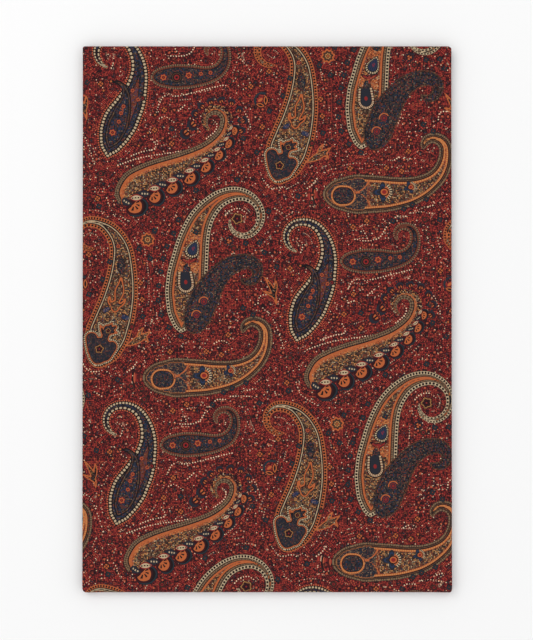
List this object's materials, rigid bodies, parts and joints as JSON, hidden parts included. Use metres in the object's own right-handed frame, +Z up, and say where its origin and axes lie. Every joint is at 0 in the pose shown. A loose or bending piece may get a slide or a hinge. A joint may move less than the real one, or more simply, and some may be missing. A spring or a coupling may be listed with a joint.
{
  "type": "folded paisley scarf",
  "caption": "Long printed scarf with a red paisley ground, hemmed all round and folded in four to lie flat on a surface",
  "frame": {"origin": "on the table, under the middle of the folded scarf", "axes": "+Y along the scarf towards the fold of the top stretch, +X across it, +Z up from the table"},
  "size_m": [0.3004, 0.444, 0.0086],
  "materials": {
    "printed_cloth": "fine matt twill, printed all over",
    "inner_cloth": "the same cloth between the outer layers"
  },
  "bodies": {
    "root": {"top_stretch": "printed_cloth", "base_stretch": "printed_cloth", "inner_stretches": "inner_cloth"}
  },
  "joints": []
}
